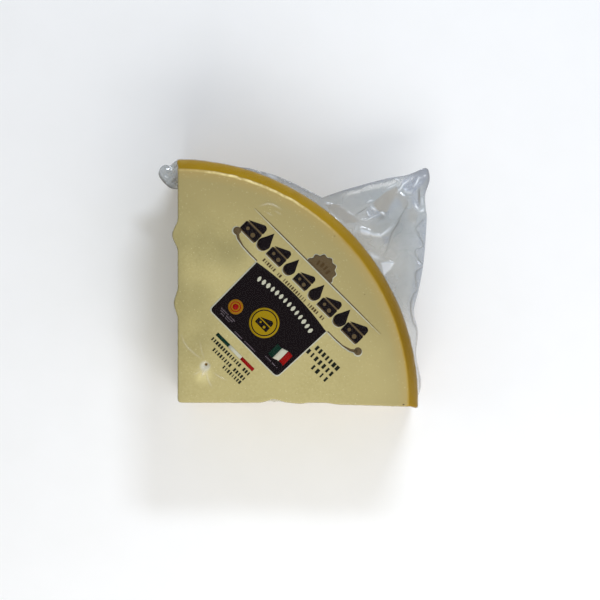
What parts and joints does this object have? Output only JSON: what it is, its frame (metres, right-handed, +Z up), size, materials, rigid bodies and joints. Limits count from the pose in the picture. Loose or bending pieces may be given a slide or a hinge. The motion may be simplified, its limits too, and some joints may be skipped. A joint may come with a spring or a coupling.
{
  "type": "vacuum-packed grana padano wheel quarter",
  "caption": "Thick quarter slab of a hard cheese wheel with golden rind, in a tight clear vacuum bag with a printed face and a spare ear of film; lies flat.",
  "frame": {"origin": "on the resting face, under the middle of the pack's bounding box", "axes": "+Z up out of the printed face; +X along the lower straight cut, away from the wheel's centre; +Y along the left straight cut, away from the wheel's centre"},
  "size_m": [0.2298, 0.2076, 0.1],
  "materials": {
    "cheese": "satin paste with a golden rind",
    "film": "clear glossy heat-shrunk film",
    "print": "ink under glossy film"
  },
  "bodies": {
    "root": {"vacuum_pack": "cheese"}
  },
  "joints": []
}
